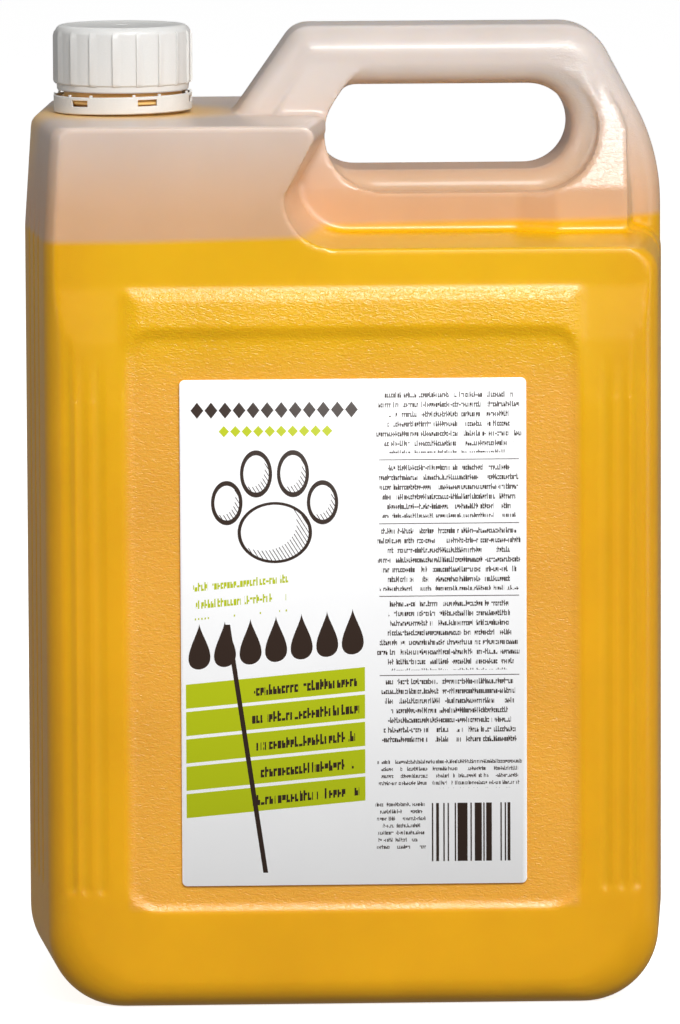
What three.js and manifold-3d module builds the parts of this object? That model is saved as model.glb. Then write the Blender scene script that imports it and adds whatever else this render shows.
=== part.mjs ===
// A five litre canister of pet shampoo, in millimetres, +Z up.
// The origin is the middle of the base. +X points to the handle's side, -Y to the front label.
// The bottle is one blow moulded shell of polyethylene. Its two halves mirror each other across
// the parting plane y = 0, so each section is drawn for its depth, the distance from that plane.

import * as THREE from "three";
import { mergeVertices } from "three/addons/utils/BufferGeometryUtils.js";
import Module from "manifold-3d";

const wasm = await Module();
wasm.setup();

// ---- Driving dimensions ----

// Body
const WIDTH = 190; // at the parting plane
const DEPTH = 128; // front face to back face
const WALL = 1.3; // moulded wall
const SHOULDER_HEIGHT = 224; // front edge of the shoulder under the handle
const SIDE_DRAFT = 0.09; // how far the side walls come in for each millimetre of depth
const BASE_CORNER = 22; // corner of the base in the front view
const BASE_EDGE = 9; // round along the base's front and back edges
const UPRIGHT_EDGE = 9; // round along the upright edges
const TOP_EDGE = 4; // round along the edges of deck and shoulder
const SHOULDER_CORNER = 10; // corner where the shoulder meets the handle's side wall
const SHOULDER_FALL = 1.6; // the shoulder falls by this much from the handle to its front edge
const HANDLE_ROOT = 4; // hollow round where the handle's faces meet the shoulder
const BASE_POCKET = { x: 104, y: 76, corner: 14, height: 2 }; // hollow that leaves a rim to stand on

// Tower that carries the neck
const TOWER_WIDTH = 74.8; // from the left side wall to the valley beside the tower
const TOWER_RISE = 36; // deck above the shoulder's front edge
const TOWER_LEAN = 9; // the valley side leans out by this much up to the deck
const TOWER_TAPER = 2; // the outer side comes in by this much up to the deck
const TOWER_CORNER = 4;
const VALLEY_ROUND = 15;
const VALLEY_SPREAD = 9; // the valley side stands out this much further at the parting plane

// Handle
const HANDLE_RISE = 26; // top of the handle above the deck
const HANDLE_THICKNESS = 37;
const HANDLE_EDGE = 9; // round along the handle's outer edges
const HANDLE_FOOT = 12.4; // left foot of the handle on the deck, from the valley
const HANDLE_SLOPE = THREE.MathUtils.degToRad(55); // climb of the left leg
const LEG_WIDTH = 21.7; // left leg, square to its slope
const GRIP_HEIGHT = 17.4; // bar above the slot
const SLOT_HEIGHT = 25.3;
const SLOT_TO_SIDE = 27.8; // right end of the slot to the side wall
const SLOT_ROUNDS = { lower: 11, upper: 6 }; // corners of the slot beside the left leg
const SLOT_FLARE = 7; // the slot opens out by this much on both faces, but not along the left leg
const SIDE_ROUND = { radius: 60, angle: THREE.MathUtils.degToRad(28) }; // long round of the right leg
const HANDLE_CORNERS = { left: 8, right: 15 };

// Front and back panels
const PANEL = { side: 31, bottom: 31, below: 24.5, depth: 1, corner: 6 };
const RAMP = { crest: 22, foot: 12, end: 6, depth: 1.6 }; // heights below the shoulder, and depth
const FLUTES = { places: [20.9, 16.1, 11.8], width: 3, depth: 0.7, bottom: 34, below: 19 };

// Label and contents
const LABEL = { beside: 13.35, above: 5.8, below: 13.3, thickness: 0.25, corner: 1.5 }; // in its panel
const FILL_ABOVE_SHOULDER = 1;
const GAP = 0.3; // between pieces that touch
const LEAST_ROUND = 0.5; // a corner keeps this radius however far its outline comes in

// Neck finish and screw cap
const NECK_TO_SIDE = 29.5; // neck axis from the left side wall
const NECK_BORE = 30;
const NECK_WALL = 2.5;
const NECK_HEIGHT = 23; // lip above the deck
const THREAD = { pitch: 4.2, turns: 1.75, depth: 1.3, start: 10.5, root: 1.1, crest: 0.5 };
const BEAD = { bottom: 3.2, height: 1, depth: 2 }; // ring that holds the tamper band down
const CAP_CLEARANCE = 0.35; // thread crest to the cap's wall
const CAP_WALL = 0.95;
const CAP_TOP = 1.5;
const CAP_EDGE = 2.3;
const CAP_TAPER = 0.5; // the skirt's last stretch comes in by this much
const CAP_RIBS = { count: 18, radius: 0.65, height: 0.7, bottom: 2.7, top: 2.6 };
const LINER = { thickness: 1, clearance: 0.55 };
const BAND = { height: 5.1, lift: 0.6, wall: 0.75, lip: 0.95, lipHeight: 1.5 };
const BAND_WINDOWS = { count: 6, first: 20, angle: 17, height: 1.9, below: 0.9 };
const BRIDGES = { offset: 11.5, width: 0.9, height: 0.8 };
const BREAK_GAP = 1.1; // tamper band to cap

// ---- Sizes that follow ----

const halfWidth = WIDTH / 2;
const halfDepth = DEPTH / 2;
const deckHeight = SHOULDER_HEIGHT + TOWER_RISE;
const handleHeight = deckHeight + HANDLE_RISE;
const handleHalf = HANDLE_THICKNESS / 2;
const slotTop = handleHeight - GRIP_HEIGHT;
const slotBottom = slotTop - SLOT_HEIGHT;
const valleyX = TOWER_WIDTH - halfWidth;
const neckX = NECK_TO_SIDE - halfWidth;
const neckRadius = NECK_BORE / 2 + NECK_WALL;
const lipHeight = deckHeight + NECK_HEIGHT;
const capInner = neckRadius + THREAD.depth + CAP_CLEARANCE;
const capOuter = capInner + CAP_WALL;
const linerBottom = lipHeight + GAP;
const capCeiling = linerBottom + LINER.thickness + GAP;
const capHeight = capCeiling + CAP_TOP;
const bandBottom = deckHeight + BAND.lift;
const bandTop = bandBottom + BAND.height;
const capBottom = bandTop + BREAK_GAP;
const panelHalf = halfWidth - PANEL.side;
const panelTop = SHOULDER_HEIGHT - PANEL.below;

// ---- Helpers ----

const UP = new THREE.Vector3(0, 0, 1);
const TURN = 2 * Math.PI;

function toSolid(geometry) {
  const bare = new THREE.BufferGeometry();
  bare.setAttribute("position", geometry.getAttribute("position"));
  bare.setIndex(geometry.getIndex());
  const merged = mergeVertices(bare, 1e-4);
  const corners = merged.getIndex().array;
  const kept = [];
  for (let i = 0; i < corners.length; i += 3) {
    const [a, b, c] = corners.slice(i, i + 3);
    if (a !== b && b !== c && c !== a) kept.push(a, b, c);
  }
  return new wasm.Manifold(
    new wasm.Mesh({
      numProp: 3,
      vertProperties: merged.getAttribute("position").array,
      triVerts: new Uint32Array(kept),
    }),
  );
}

function toGeometry(solid) {
  const { vertProperties, triVerts } = solid.getMesh();
  const geometry = new THREE.BufferGeometry();
  geometry.setAttribute("position", new THREE.BufferAttribute(vertProperties, 3));
  geometry.setIndex(new THREE.BufferAttribute(triVerts, 1));
  geometry.computeVertexNormals();
  return geometry;
}

// Points on an arc. Angles are in degrees. A hollow corner has a negative radius.
function arc(x, z, radius, from, to, steps) {
  return Array.from({ length: steps + 1 }, (_, i) => {
    const angle = THREE.MathUtils.degToRad(from + ((to - from) * i) / steps);
    return new THREE.Vector2(x + radius * Math.cos(angle), z + radius * Math.sin(angle));
  });
}

// A closed solid through a row of outlines with the same number of points, which run
// anticlockwise as seen from before the first. place gives a point of outline i its position.
function loft(outlines, place) {
  const count = outlines[0].length;
  const last = (outlines.length - 1) * count;
  const positions = outlines.flatMap((outline, i) => outline.flatMap((p) => place(p, i)));
  const faces = [];
  for (let ring = 0; ring < last; ring += count) {
    for (let i = 0; i < count; i++) {
      const [a, b] = [ring + i, ring + ((i + 1) % count)];
      faces.push(a, a + count, b + count, a, b + count, b);
    }
  }
  for (const [a, b, c] of THREE.ShapeUtils.triangulateShape(outlines[0], [])) faces.push(a, b, c);
  for (const [a, b, c] of THREE.ShapeUtils.triangulateShape(outlines.at(-1), []))
    faces.push(last + a, last + c, last + b);
  const geometry = new THREE.BufferGeometry();
  geometry.setAttribute("position", new THREE.Float32BufferAttribute(positions, 3));
  geometry.setIndex(faces);
  return toSolid(geometry);
}

// A solid of sections that stand square to Y, mirrored across the parting plane.
function mirroredLoft(depths, outlineAt) {
  const places = [...depths.toReversed().map((d) => -d), ...depths.slice(1)];
  return loft(
    places.map((y) => outlineAt(Math.abs(y))),
    (p, i) => [p.x, places[i], p.y],
  );
}

// How far a rounded edge has come in at a depth, on a form that is half deep.
function roundIn(depth, half, radius) {
  const into = Math.max(0, depth - (half - radius));
  return radius - Math.sqrt(Math.max(0, radius * radius - into * into));
}

// Depths for a mirrored form: flat stretches first, then even steps round its edge.
function depthSteps(flat, half, radius, steps) {
  const round = Array.from(
    { length: steps + 1 },
    (_, i) => half - radius + radius * Math.sin(((i / steps) * Math.PI) / 2),
  );
  return [...flat.filter((d) => d < round[0] - 1), ...round];
}

function roundedRectangle(halfX, bottom, top, corner) {
  const shape = new THREE.Shape();
  shape.absarc(halfX - corner, bottom + corner, corner, -Math.PI / 2, 0);
  shape.absarc(halfX - corner, top - corner, corner, 0, Math.PI / 2);
  shape.absarc(corner - halfX, top - corner, corner, Math.PI / 2, Math.PI);
  shape.absarc(corner - halfX, bottom + corner, corner, Math.PI, 1.5 * Math.PI);
  return shape;
}

// A plate with its shape in XZ. It fills from y back to y minus thickness.
function plateXZ(shape, y, thickness) {
  const geometry = new THREE.ExtrudeGeometry(shape, {
    depth: thickness,
    bevelEnabled: false,
    curveSegments: 4,
  });
  return geometry.rotateX(Math.PI / 2).translate(0, y, 0);
}

// A bar along X with its section in YZ, as long as two times halfX.
function barAlongX(points, halfX) {
  const shape = new THREE.Shape(points.map(([y, z]) => new THREE.Vector2(y, z)));
  const geometry = new THREE.ExtrudeGeometry(shape, { depth: 2 * halfX, bevelEnabled: false });
  const axes = [new THREE.Vector3(0, 1, 0), UP, new THREE.Vector3(1, 0, 0)];
  return geometry.applyMatrix4(new THREE.Matrix4().makeBasis(...axes)).translate(-halfX, 0, 0);
}

// A turned shape about the neck axis. Points are [radius, height].
function turned(points, segments = 48) {
  const profile = points.map(([r, z]) => new THREE.Vector2(r, z));
  const geometry = new THREE.LatheGeometry(profile, segments);
  return toSolid(geometry.rotateX(Math.PI / 2).translate(neckX, 0, 0));
}

// Places a geometry made round the Z axis at the neck, turned from the front towards +X.
function atNeck(geometry, degrees) {
  return toSolid(geometry.rotateZ(THREE.MathUtils.degToRad(degrees)).translate(neckX, 0, 0));
}

// A right hand thread ridge. Its root is sunk into the wall, and its crest rises at each end.
function thread(rootRadius, crestRadius, start) {
  const sink = 0.2 * Math.sign(rootRadius - crestRadius);
  const stepsPerTurn = 40;
  const steps = Math.round(THREAD.turns * stepsPerTurn);
  const leadSteps = stepsPerTurn / 10;
  const outlines = [];
  for (let i = 0; i <= steps; i++) {
    const rise = Math.min(1, i / leadSteps, (steps - i) / leadSteps);
    const crest = rootRadius + sink / 2 + (crestRadius - rootRadius - sink / 2) * rise;
    const z = start + (THREAD.pitch * i) / stepsPerTurn;
    const root = rootRadius + sink;
    const outline = [
      new THREE.Vector2(root, z - THREAD.root),
      new THREE.Vector2(crest, z - THREAD.crest),
      new THREE.Vector2(crest, z + THREAD.crest),
      new THREE.Vector2(root, z + THREAD.root),
    ];
    outlines.push(sink > 0 ? outline.reverse() : outline);
  }
  return loft(outlines, (p, i) => {
    const angle = (TURN * i) / stepsPerTurn;
    return [neckX + p.x * Math.cos(angle), p.x * Math.sin(angle), p.y];
  });
}

// ---- Bottle form. Each piece can be made smaller all round by inset. ----

// Front view of body and tower at a depth.
function bodyOutline(depth, inset) {
  const half = halfDepth - inset;
  const sideIn = roundIn(depth, half, UPRIGHT_EDGE - inset) + inset;
  const topIn = roundIn(depth, half, TOP_EDGE - inset) + inset;
  const side = halfWidth - SIDE_DRAFT * depth - sideIn;
  const bottom = roundIn(depth, half, BASE_EDGE - inset) + inset;
  const flat = halfDepth - TOP_EDGE - handleHalf;
  const beyondHandle = Math.max(0, depth - handleHalf);
  const fall = SHOULDER_FALL * Math.max(0, 1 - beyondHandle / flat);
  const root = roundIn(HANDLE_ROOT - beyondHandle, HANDLE_ROOT, HANDLE_ROOT);
  const shoulder = SHOULDER_HEIGHT + fall + root - topIn;
  const deck = deckHeight - topIn;
  const valley = valleyX + VALLEY_SPREAD * (1 - depth / halfDepth) - topIn;
  const base = BASE_CORNER - inset;
  const corner = SHOULDER_CORNER - inset;
  const hollow = VALLEY_ROUND + topIn;
  const tower = TOWER_CORNER - inset;
  const towerSide = side - TOWER_TAPER;
  return [
    ...arc(base - side, bottom + base, base, 180, 270, 7),
    ...arc(side - base, bottom + base, base, 270, 360, 7),
    ...arc(side - corner, shoulder - corner, corner, 0, 90, 5),
    ...arc(valley + hollow, shoulder + hollow, -hollow, 90, 0, 6),
    ...arc(valley + TOWER_LEAN - tower, deck - tower, tower, 0, 90, 3),
    ...arc(tower - towerSide, deck - tower, tower, 90, 180, 4),
    new THREE.Vector2(-side, shoulder),
  ];
}

function bodyForm(inset) {
  const rootDepths = [0, 0.17, 0.5, 1].map((share) => handleHalf + HANDLE_ROOT * share);
  const depths = depthSteps([0, ...rootDepths], halfDepth - inset, BASE_EDGE - inset, 6);
  return mirroredLoft(depths, (depth) => bodyOutline(depth, inset));
}

// The left leg's outer line passes the foot on the deck; its normal points up and left.
const legNormal = Math.PI / 2 + HANDLE_SLOPE;
const legDirection = new THREE.Vector2(Math.cos(legNormal), Math.sin(legNormal));
const legLine = legDirection.dot(new THREE.Vector2(valleyX - HANDLE_FOOT, deckHeight));

// X of a round's centre when the round touches a line along the left leg.
function centreOnLeg(line, z, radius) {
  return (line - radius - legDirection.y * z) / legDirection.x;
}

function handleOutline(depth, inset) {
  const comeIn = roundIn(depth, handleHalf - inset, HANDLE_EDGE - inset) + inset;
  const leftRound = Math.max(LEAST_ROUND, HANDLE_CORNERS.left - comeIn);
  const rightRound = Math.max(LEAST_ROUND, HANDLE_CORNERS.right - comeIn);
  const leftZ = handleHeight - comeIn - leftRound;
  const rightZ = handleHeight - comeIn - rightRound;
  const sideX = halfWidth - 1 - SIDE_ROUND.radius;
  const sideZ = SHOULDER_HEIGHT + 9;
  const [cos, sin] = [Math.cos(SIDE_ROUND.angle), Math.sin(SIDE_ROUND.angle)];
  const sideLine = sideX * cos + sideZ * sin + SIDE_ROUND.radius - comeIn;
  const rightX = (sideLine - rightRound - rightZ * sin) / cos;
  const sideAngle = THREE.MathUtils.radToDeg(SIDE_ROUND.angle);
  const legAngle = THREE.MathUtils.radToDeg(legNormal);
  const footZ = deckHeight - TOWER_RISE / 2;
  const footX = centreOnLeg(legLine - comeIn, footZ, 0);
  return [
    new THREE.Vector2(footX, footZ),
    new THREE.Vector2(valleyX, SHOULDER_HEIGHT - 20),
    new THREE.Vector2(sideX + SIDE_ROUND.radius - comeIn, SHOULDER_HEIGHT - 20),
    ...arc(sideX, sideZ, SIDE_ROUND.radius - comeIn, 0, sideAngle, 4),
    ...arc(rightX, rightZ, rightRound, sideAngle, 90, 5),
    ...arc(centreOnLeg(legLine - comeIn, leftZ, leftRound), leftZ, leftRound, 90, legAngle, 3),
  ];
}

function handleForm(inset) {
  const depths = depthSteps([0], handleHalf - inset, HANDLE_EDGE - inset, 4);
  return mirroredLoft(depths, (depth) => handleOutline(depth, inset));
}

// The slot for the hand, which flares on both faces and runs on past the handle.
function slotForm(grow) {
  const end = (slotTop - slotBottom) / 2;
  const rightX = halfWidth - SLOT_TO_SIDE - end;
  const slotLine = legLine - LEG_WIDTH + grow;
  const legAngle = THREE.MathUtils.radToDeg(legNormal);
  const leftRound = (z, radius, from, to, steps) =>
    arc(centreOnLeg(slotLine, z, radius), z, radius, from, to, steps);
  const outlineAt = (depth) => {
    const wide = grow + roundIn(Math.min(depth, handleHalf), handleHalf, SLOT_FLARE);
    return [
      ...arc(rightX, slotBottom + end, end + wide, -90, 90, 10),
      ...leftRound(slotTop - SLOT_ROUNDS.upper, SLOT_ROUNDS.upper + wide, 90, legAngle, 3),
      ...leftRound(slotBottom + SLOT_ROUNDS.lower, SLOT_ROUNDS.lower + wide, legAngle, 270, 5),
    ];
  };
  const depths = [...depthSteps([0], handleHalf, SLOT_FLARE, 4), handleHalf + 4];
  return mirroredLoft(depths, outlineAt);
}

// Hollows in the faces and the base, each one grown by grow to cut the space inside as well.
function faceHollows(grow) {
  const out = 4;
  const panel = roundedRectangle(
    panelHalf + grow,
    PANEL.bottom - grow,
    panelTop + grow,
    PANEL.corner + grow,
  );
  const front = halfDepth - PANEL.depth - grow;
  const deep = halfDepth - RAMP.depth - grow;
  const rampSection = (side) => [
    [side * (halfDepth + out), SHOULDER_HEIGHT - RAMP.end / 2],
    [side * (halfDepth + out), SHOULDER_HEIGHT - RAMP.crest - grow],
    [side * (halfDepth - grow), SHOULDER_HEIGHT - RAMP.crest - grow],
    [side * deep, SHOULDER_HEIGHT - RAMP.foot],
    [side * deep, SHOULDER_HEIGHT - RAMP.end - grow],
    [side * (halfDepth - grow), SHOULDER_HEIGHT - RAMP.end / 2],
  ];
  const pocket = roundedRectangle(
    BASE_POCKET.x / 2 + grow,
    -BASE_POCKET.y / 2 - grow,
    BASE_POCKET.y / 2 + grow,
    BASE_POCKET.corner + grow,
  );
  const pocketGeometry = new THREE.ExtrudeGeometry(pocket, {
    depth: BASE_POCKET.height + grow + 1,
    bevelEnabled: false,
    curveSegments: 4,
  });
  return [
    toSolid(plateXZ(panel, -front, out)),
    toSolid(plateXZ(panel, front + out, out)),
    toSolid(barAlongX(rampSection(-1).toReversed(), panelHalf + grow)),
    toSolid(barAlongX(rampSection(1), panelHalf + grow)),
    toSolid(pocketGeometry.translate(0, 0, -1)),
  ];
}

// Upright flutes beside the panels, on both faces and both sides.
function flutes() {
  const radius = (FLUTES.width ** 2 / 4 + FLUTES.depth ** 2) / (2 * FLUTES.depth);
  const top = SHOULDER_HEIGHT - FLUTES.below;
  const flatHalf = halfWidth - SIDE_DRAFT * halfDepth - UPRIGHT_EDGE;
  const cuts = [];
  for (const place of FLUTES.places) {
    const x = halfWidth - place;
    const overEdge = Math.max(0, x - flatHalf);
    const surface = halfDepth - UPRIGHT_EDGE + Math.sqrt(UPRIGHT_EDGE ** 2 - overEdge ** 2);
    const y = surface + radius - FLUTES.depth;
    for (const [sideX, sideY] of [[1, 1], [1, -1], [-1, 1], [-1, -1]]) {
      const groove = new THREE.CylinderGeometry(radius, radius, top - FLUTES.bottom, 12);
      groove.rotateX(Math.PI / 2).translate(sideX * x, sideY * y, (top + FLUTES.bottom) / 2);
      cuts.push(toSolid(groove));
    }
  }
  return cuts;
}

// The whole form of the bottle without its neck, made smaller all round by inset.
function bottleForm(inset) {
  let form = bodyForm(inset).add(handleForm(inset)).subtract(slotForm(inset));
  for (const hollow of faceHollows(inset)) form = form.subtract(hollow);
  return form;
}

// ---- Pieces ----

function neckFinish() {
  const inner = NECK_BORE / 2;
  const sunk = deckHeight - WALL / 2;
  const beadBottom = deckHeight + BEAD.bottom;
  const beadTop = beadBottom + BEAD.height;
  const tube = turned([
    [inner, sunk],
    [neckRadius + 1, sunk],
    [neckRadius + 1, deckHeight],
    [neckRadius, deckHeight + 1],
    [neckRadius, beadBottom - 0.3],
    [neckRadius + BEAD.depth, beadBottom],
    [neckRadius + BEAD.depth, beadTop],
    [neckRadius, beadTop + 1.4],
    [neckRadius, lipHeight - 0.5],
    [neckRadius - 0.5, lipHeight],
    [inner, lipHeight],
    [inner, sunk],
  ]);
  return tube.add(thread(neckRadius, neckRadius + THREAD.depth, deckHeight + THREAD.start));
}

function bottle() {
  let solid = bottleForm(0);
  for (const groove of flutes()) solid = solid.subtract(groove);
  const bore = turned([
    [0, deckHeight - 2 * WALL],
    [NECK_BORE / 2, deckHeight - 2 * WALL],
    [NECK_BORE / 2, deckHeight + WALL],
    [0, deckHeight + WALL],
  ]);
  return solid.add(neckFinish()).subtract(bottleForm(WALL)).subtract(bore);
}

// The shampoo fills the space inside up to its level.
function shampoo() {
  const level = SHOULDER_HEIGHT + FILL_ABOVE_SHOULDER;
  const below = new THREE.BoxGeometry(WIDTH, DEPTH, level).translate(0, 0, level / 2);
  return bottleForm(WALL + GAP).intersect(toSolid(below));
}

function label() {
  const [bottom, top] = [PANEL.bottom + LABEL.above, panelTop - LABEL.below];
  const sheet = roundedRectangle(panelHalf - LABEL.beside, bottom, top, LABEL.corner);
  return toSolid(plateXZ(sheet, PANEL.depth - halfDepth - GAP, LABEL.thickness));
}

function screwCap() {
  const skirt = capBottom + CAP_RIBS.bottom;
  const shell = turned([
    [0, capCeiling],
    [capInner, capCeiling],
    [capInner, capBottom],
    [capOuter - CAP_TAPER, capBottom],
    [capOuter, skirt - 0.6],
    ...arc(capOuter - CAP_EDGE, capHeight - CAP_EDGE, CAP_EDGE, 0, 90, 5).map((p) => [p.x, p.y]),
    [1.6, capHeight],
    [1.3, capHeight - 0.3],
    [0, capHeight - 0.3],
  ]);
  const ribTop = capHeight - CAP_RIBS.top;
  const ridge = thread(capInner, neckRadius + 0.5, deckHeight + THREAD.start - THREAD.pitch / 2);
  let cap = shell.add(ridge);
  for (let i = 0; i < CAP_RIBS.count; i++) {
    const rib = new THREE.CylinderGeometry(CAP_RIBS.radius, CAP_RIBS.radius, ribTop - skirt, 8);
    rib.rotateX(Math.PI / 2);
    rib.translate(0, CAP_RIBS.height - CAP_RIBS.radius - capOuter, (ribTop + skirt) / 2);
    cap = cap.add(atNeck(rib, ((i + 0.5) * 360) / CAP_RIBS.count));
  }
  return cap;
}

function capLiner() {
  const radius = capInner - LINER.clearance;
  return turned([
    [0, linerBottom],
    [radius, linerBottom],
    [radius, linerBottom + LINER.thickness],
    [0, linerBottom + LINER.thickness],
  ]);
}

// The band hangs on the bead by its lip, and its bridges to the cap are broken.
function tamperBand() {
  const inner = neckRadius + BEAD.depth + CAP_CLEARANCE;
  const outer = inner + BAND.wall;
  const lipTop = bandBottom + BAND.lipHeight;
  let band = turned([
    [inner, lipTop],
    [inner - BAND.lip, lipTop - 0.5],
    [inner - BAND.lip, bandBottom],
    [outer - 0.2, bandBottom],
    [outer, bandBottom + 0.3],
    [outer, bandTop],
    [inner, bandTop],
    [inner, lipTop],
  ]);
  const pitch = 360 / BAND_WINDOWS.count;
  const chord = 2 * outer * Math.sin(THREE.MathUtils.degToRad(BAND_WINDOWS.angle / 2));
  const windowZ = bandTop - BAND_WINDOWS.below - BAND_WINDOWS.height / 2;
  for (let i = 0; i < BAND_WINDOWS.count; i++) {
    const centre = BAND_WINDOWS.first + i * pitch;
    const opening = new THREE.BoxGeometry(chord, 4, BAND_WINDOWS.height);
    band = band.subtract(atNeck(opening.translate(0, -outer, windowZ), centre));
    for (const side of [-1, 1]) {
      const bridge = new THREE.BoxGeometry(BRIDGES.width, BAND.wall * 0.8, 2 * BRIDGES.height);
      bridge.translate(0, BAND.wall / 2 - outer, bandTop);
      band = band.add(atNeck(bridge, centre + side * BRIDGES.offset));
    }
  }
  return band;
}

// ---- Assembly ----

const polyethylene = { color: 0xe6d9cb, roughness: 0.42, metalness: 0 };
const pieces = {
  bottle: [bottle, polyethylene],
  shampoo: [shampoo, { color: 0xe7a600, roughness: 0.25, metalness: 0 }],
  label: [label, { color: 0xe4e4e6, roughness: 0.35, metalness: 0 }],
  screw_cap: [screwCap, { color: 0xeeeeec, roughness: 0.4, metalness: 0 }],
  cap_liner: [capLiner, { color: 0xf4f2ee, roughness: 0.8, metalness: 0 }],
  tamper_band: [tamperBand, { color: 0xeeeeec, roughness: 0.4, metalness: 0 }],
};

const canister = new THREE.Group();
for (const [name, [make, finish]] of Object.entries(pieces)) {
  const mesh = new THREE.Mesh(toGeometry(make()), new THREE.MeshStandardMaterial(finish));
  mesh.name = name;
  canister.add(mesh);
}

export default canister;
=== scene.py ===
# %% [markdown]
# # A five litre canister of pet shampoo
# The real canister is one blow moulded shell of natural, milky polyethylene, filled with an
# egg-yellow shampoo. A white screw cap sits on a tamper band, and a film label is stuck on its
# front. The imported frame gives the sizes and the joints. This lesson builds the looks round it.

import bmesh
import bpy
import math
from mathutils import Matrix, Vector


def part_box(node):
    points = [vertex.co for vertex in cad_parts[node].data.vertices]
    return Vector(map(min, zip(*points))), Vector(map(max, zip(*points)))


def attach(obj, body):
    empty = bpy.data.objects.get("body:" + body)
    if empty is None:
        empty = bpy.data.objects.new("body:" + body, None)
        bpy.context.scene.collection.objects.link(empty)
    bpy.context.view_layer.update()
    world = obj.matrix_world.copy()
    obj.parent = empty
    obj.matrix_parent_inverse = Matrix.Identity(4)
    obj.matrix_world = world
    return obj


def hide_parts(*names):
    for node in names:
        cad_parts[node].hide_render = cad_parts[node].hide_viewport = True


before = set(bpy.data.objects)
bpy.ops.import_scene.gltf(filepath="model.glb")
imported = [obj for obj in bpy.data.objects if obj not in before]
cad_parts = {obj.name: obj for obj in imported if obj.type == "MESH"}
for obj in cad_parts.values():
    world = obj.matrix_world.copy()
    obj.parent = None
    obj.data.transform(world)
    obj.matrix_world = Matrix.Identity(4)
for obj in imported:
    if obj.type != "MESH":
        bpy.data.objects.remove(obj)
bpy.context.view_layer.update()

# %% [markdown]
# ## Units and sizes
# Blender works in metres, but the sizes of a bottle are easier to read in millimetres. The few
# driving sizes come from the frame's boxes, so a changed frame brings the looks along.

# %% Sizes from the frame, in millimetres
MM = 0.001


def size_of(node):
    low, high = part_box(node)
    return [c / MM for c in low], [c / MM for c in high]


bottle_low, bottle_high = size_of("bottle")
cap_low, cap_high = size_of("screw_cap")
band_low, band_high = size_of("tamper_band")
liner_low, liner_high = size_of("cap_liner")
label_low, label_high = size_of("label")
shampoo_low, shampoo_high = size_of("shampoo")

HALF_WIDTH = bottle_high[0]
HALF_DEPTH = bottle_high[1]
HANDLE_TOP = bottle_high[2]
NECK_X = (cap_low[0] + cap_high[0]) / 2
LEVEL = shampoo_high[2]
SHOULDER = LEVEL - 1
DECK = SHOULDER + 36
WALL = 1.3
print("half width", HALF_WIDTH, "half depth", HALF_DEPTH, "neck at", NECK_X, "level", LEVEL)

# %% [markdown]
# ## Helpers
# An operator acts on all that is selected, so each step starts by deselecting everything. A loft
# is a grid primitive wrapped round a row of rings: it makes a closed solid with even faces.

# %% Selecting
def only(obj):
    if bpy.context.object and bpy.context.object.mode != "OBJECT":
        bpy.ops.object.mode_set(mode="OBJECT")
    bpy.ops.object.select_all(action="DESELECT")
    if obj:
        bpy.context.view_layer.objects.active = obj
        obj.select_set(True)


def fill_ring(obj, corners):
    """Closes an open end: its corners are selected by number and made one face"""
    only(obj)
    bpy.ops.object.mode_set(mode="EDIT")
    bpy.ops.mesh.select_mode(type="VERT")
    bpy.ops.mesh.select_all(action="DESELECT")
    bpy.ops.object.mode_set(mode="OBJECT")
    for corner in corners:
        obj.data.vertices[corner].select = True
    bpy.ops.object.mode_set(mode="EDIT")
    bpy.ops.mesh.edge_face_add()
    bpy.ops.object.mode_set(mode="OBJECT")


def clean(obj):
    """Merges doubled corners and turns every face outwards"""
    only(obj)
    bpy.ops.object.mode_set(mode="EDIT")
    bpy.ops.mesh.select_all(action="SELECT")
    bpy.ops.mesh.remove_doubles(threshold=0.002 * MM)
    bpy.ops.mesh.normals_make_consistent(inside=False)
    bpy.ops.object.mode_set(mode="OBJECT")


# %% Lofts
def loft(name, rings):
    """A closed solid through rings of points in millimetres, each with the same count"""
    count = len(rings[0])
    only(None)
    bpy.ops.mesh.primitive_grid_add(x_subdivisions=count, y_subdivisions=len(rings) - 1)
    obj = bpy.context.object
    obj.name = name
    columns = count + 1
    for i, vertex in enumerate(obj.data.vertices):
        row, column = divmod(i, columns)
        vertex.co = Vector(rings[row][column % count]) * MM
    fill_ring(obj, range(count))
    last = (len(rings) - 1) * columns
    fill_ring(obj, range(last, last + count))
    clean(obj)
    return obj


def arc(x, z, radius, start, end, steps):
    """Points on an arc, with angles in degrees. A hollow corner has a negative radius"""
    turns = [math.radians(start + (end - start) * i / steps) for i in range(steps + 1)]
    return [(x + radius * math.cos(a), z + radius * math.sin(a)) for a in turns]


def mirrored_loft(name, depths, outline_at):
    """Sections that stand square to Y, mirrored across the parting plane"""
    places = [-d for d in reversed(depths)] + list(depths[1:])
    return loft(name, [[(x, y, z) for x, z in outline_at(abs(y))] for y in places])


# %% Cutting and joining
def combine(obj, other, operation):
    """Joins other to obj or cuts it away, by an exact boolean that is applied at once"""
    only(obj)
    modifier = obj.modifiers.new(operation.title(), "BOOLEAN")
    modifier.operation = operation
    modifier.solver = "EXACT"
    modifier.object = other
    bpy.ops.object.modifier_apply(modifier=modifier.name)
    bpy.data.objects.remove(other)
    return obj


def apply(obj, kind, **settings):
    """Adds a modifier with its settings and applies it"""
    only(obj)
    modifier = obj.modifiers.new(kind.title(), kind)
    for name, value in settings.items():
        setattr(modifier, name, value)
    bpy.ops.object.modifier_apply(modifier=modifier.name)
    return obj


def join(name, parts):
    only(None)
    for part in parts:
        part.select_set(True)
    bpy.context.view_layer.objects.active = parts[0]
    if len(parts) > 1:
        bpy.ops.object.join()
    parts[0].name = name
    return parts[0]


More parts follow.
